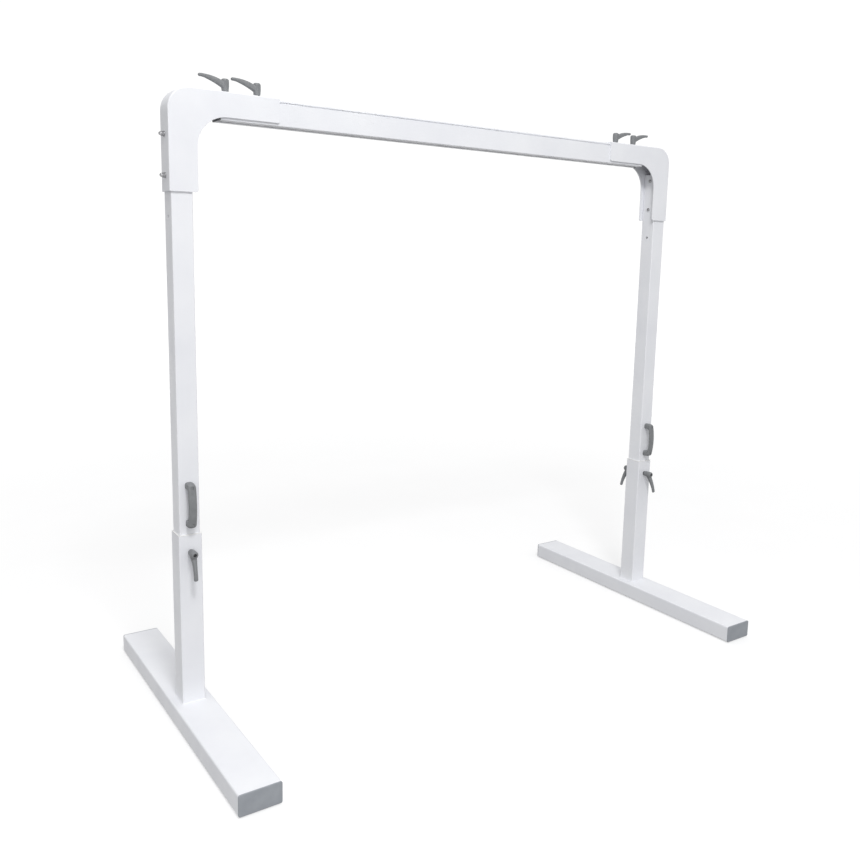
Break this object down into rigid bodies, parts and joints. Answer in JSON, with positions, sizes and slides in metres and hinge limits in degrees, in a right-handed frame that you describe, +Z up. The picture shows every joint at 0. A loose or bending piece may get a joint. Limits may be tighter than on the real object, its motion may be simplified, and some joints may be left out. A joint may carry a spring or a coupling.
{
  "type": "freestanding lift gantry",
  "caption": "Freestanding overhead gantry for a patient lift: floor beams, telescopic masts, bent corner housings and a slotted crossbar track with clamp levers.",
  "frame": {"origin": "on the floor, midway between the two posts and midway along the floor beams", "axes": "+X along the crossbar to the right post, -Y towards the front, where the grab handles are, +Z up"},
  "size_m": [2.21, 1.19, 2.0608],
  "materials": {
    "white_powder_coat": "satin",
    "grey_end_cap": "satin",
    "dark_grey_plastic": "satin",
    "black_rubber": "matte",
    "white_nylon": "satin",
    "black_steel": "satin",
    "zinc_steel": "satin"
  },
  "bodies": {
    "base_left": {"foot_beam_left": "white_powder_coat", "foot_cap_front_left": "grey_end_cap", "foot_pad_front_left": "black_rubber", "foot_cap_rear_left": "grey_end_cap", "foot_pad_rear_left": "black_rubber", "socket_post_left": "white_powder_coat", "guide_bush_left": "white_nylon"},
    "frame_left": {"mast_left": "white_powder_coat", "mast_foot_guide_left": "white_nylon", "grab_handle_left": "dark_grey_plastic", "handle_screw_upper_left": "black_steel", "handle_screw_lower_left": "black_steel", "corner_housing_left": "white_powder_coat", "cross_bolt_upper_left": "zinc_steel", "dome_nut_upper_left": "zinc_steel", "cross_bolt_lower_left": "zinc_steel", "dome_nut_lower_left": "zinc_steel", "slot_nut_outer_left": "zinc_steel", "slot_nut_inner_left": "zinc_steel"},
    "base_right": {"foot_beam_right": "white_powder_coat", "foot_cap_front_right": "grey_end_cap", "foot_pad_front_right": "black_rubber", "foot_cap_rear_right": "grey_end_cap", "foot_pad_rear_right": "black_rubber", "socket_post_right": "white_powder_coat", "guide_bush_right": "white_nylon"},
    "frame_right": {"mast_right": "white_powder_coat", "mast_foot_guide_right": "white_nylon", "grab_handle_right": "dark_grey_plastic", "handle_screw_upper_right": "black_steel", "handle_screw_lower_right": "black_steel", "corner_housing_right": "white_powder_coat", "cross_bolt_upper_right": "zinc_steel", "dome_nut_upper_right": "zinc_steel", "cross_bolt_lower_right": "zinc_steel", "dome_nut_lower_right": "zinc_steel", "slot_nut_outer_right": "zinc_steel", "slot_nut_inner_right": "zinc_steel"},
    "crossbar": {"rail": "white_powder_coat", "rail_end_cap_left": "dark_grey_plastic", "rail_end_cap_right": "dark_grey_plastic"},
    "rail_clamp_outer_left": {"rail_lever_outer_left_stud": "black_steel"},
    "rail_lever_outer_left": {"rail_lever_outer_left": "dark_grey_plastic"},
    "rail_clamp_inner_left": {"rail_lever_inner_left_stud": "black_steel"},
    "rail_lever_inner_left": {"rail_lever_inner_left": "dark_grey_plastic"},
    "mast_clamp_front_left": {"mast_lever_front_left_stud": "black_steel"},
    "mast_lever_front_left": {"mast_lever_front_left": "dark_grey_plastic"},
    "mast_clamp_rear_left": {"mast_lever_rear_left_stud": "black_steel"},
    "mast_lever_rear_left": {"mast_lever_rear_left": "dark_grey_plastic"},
    "rail_clamp_outer_right": {"rail_lever_outer_right_stud": "black_steel"},
    "rail_lever_outer_right": {"rail_lever_outer_right": "dark_grey_plastic"},
    "rail_clamp_inner_right": {"rail_lever_inner_right_stud": "black_steel"},
    "rail_lever_inner_right": {"rail_lever_inner_right": "dark_grey_plastic"},
    "mast_clamp_front_right": {"mast_lever_front_right_stud": "black_steel"},
    "mast_lever_front_right": {"mast_lever_front_right": "dark_grey_plastic"},
    "mast_clamp_rear_right": {"mast_lever_rear_right_stud": "black_steel"},
    "mast_lever_rear_right": {"mast_lever_rear_right": "dark_grey_plastic"}
  },
  "joints": [
    {"name": "height_left", "type": "slide", "parent": "base_left", "child": "frame_left", "axis": [0, 0, 1], "range_m": [0, 0.4]},
    {"name": "rail_in_left", "type": "slide", "parent": "frame_left", "child": "crossbar", "axis": [1, 0, 0], "range_m": [-0.08, 0.012]},
    {"name": "rail_in_right", "type": "slide", "parent": "crossbar", "child": "frame_right", "axis": [1, 0, 0], "range_m": [-0.08, 0.012]},
    {"name": "height_right", "type": "slide", "parent": "frame_right", "child": "base_right", "axis": [0, 0, -1], "range_m": [0, 0.4]},
    {"name": "turn_rail_lever_outer_left", "type": "hinge", "parent": "frame_left", "child": "rail_clamp_outer_left", "pos_m": [-0.889, 0, 2.01], "axis": [0, 0, 1], "range_deg": [0, 110]},
    {"name": "lift_rail_lever_outer_left", "type": "slide", "parent": "rail_clamp_outer_left", "child": "rail_lever_outer_left", "axis": [0, 0, 1], "range_m": [0, 0.005], "stiffness_N_per_m": 1200, "springref_m": -0.003},
    {"name": "turn_rail_lever_inner_left", "type": "hinge", "parent": "frame_left", "child": "rail_clamp_inner_left", "pos_m": [-0.786, 0, 2.01], "axis": [0, 0, 1], "range_deg": [0, 110]},
    {"name": "lift_rail_lever_inner_left", "type": "slide", "parent": "rail_clamp_inner_left", "child": "rail_lever_inner_left", "axis": [0, 0, 1], "range_m": [0, 0.005], "stiffness_N_per_m": 1200, "springref_m": -0.003},
    {"name": "turn_mast_lever_front_left", "type": "hinge", "parent": "base_left", "child": "mast_clamp_front_left", "pos_m": [-1.04, -0.0375, 0.582], "axis": [0, -1, 0], "range_deg": [0, 110]},
    {"name": "lift_mast_lever_front_left", "type": "slide", "parent": "mast_clamp_front_left", "child": "mast_lever_front_left", "axis": [0, -1, 0], "range_m": [0, 0.005], "stiffness_N_per_m": 1200, "springref_m": -0.003},
    {"name": "turn_mast_lever_rear_left", "type": "hinge", "parent": "base_left", "child": "mast_clamp_rear_left", "pos_m": [-1.04, 0.0375, 0.582], "axis": [0, 1, 0], "range_deg": [0, 110]},
    {"name": "lift_mast_lever_rear_left", "type": "slide", "parent": "mast_clamp_rear_left", "child": "mast_lever_rear_left", "axis": [0, 1, 0], "range_m": [0, 0.005], "stiffness_N_per_m": 1200, "springref_m": -0.003},
    {"name": "turn_rail_lever_outer_right", "type": "hinge", "parent": "frame_right", "child": "rail_clamp_outer_right", "pos_m": [0.889, 0, 2.01], "axis": [0, 0, 1], "range_deg": [0, 110]},
    {"name": "lift_rail_lever_outer_right", "type": "slide", "parent": "rail_clamp_outer_right", "child": "rail_lever_outer_right", "axis": [0, 0, 1], "range_m": [0, 0.005], "stiffness_N_per_m": 1200, "springref_m": -0.003},
    {"name": "turn_rail_lever_inner_right", "type": "hinge", "parent": "frame_right", "child": "rail_clamp_inner_right", "pos_m": [0.786, 0, 2.01], "axis": [0, 0, 1], "range_deg": [0, 110]},
    {"name": "lift_rail_lever_inner_right", "type": "slide", "parent": "rail_clamp_inner_right", "child": "rail_lever_inner_right", "axis": [0, 0, 1], "range_m": [0, 0.005], "stiffness_N_per_m": 1200, "springref_m": -0.003},
    {"name": "turn_mast_lever_front_right", "type": "hinge", "parent": "base_right", "child": "mast_clamp_front_right", "pos_m": [1.04, -0.0375, 0.582], "axis": [0, -1, 0], "range_deg": [0, 110]},
    {"name": "lift_mast_lever_front_right", "type": "slide", "parent": "mast_clamp_front_right", "child": "mast_lever_front_right", "axis": [0, -1, 0], "range_m": [0, 0.005], "stiffness_N_per_m": 1200, "springref_m": -0.003},
    {"name": "turn_mast_lever_rear_right", "type": "hinge", "parent": "base_right", "child": "mast_clamp_rear_right", "pos_m": [1.04, 0.0375, 0.582], "axis": [0, 1, 0], "range_deg": [0, 110]},
    {"name": "lift_mast_lever_rear_right", "type": "slide", "parent": "mast_clamp_rear_right", "child": "mast_lever_rear_right", "axis": [0, 1, 0], "range_m": [0, 0.005], "stiffness_N_per_m": 1200, "springref_m": -0.003}
  ],
  "couplings": [
    {"joint": "height_right", "follows": "height_left", "ratio": 1}
  ]
}
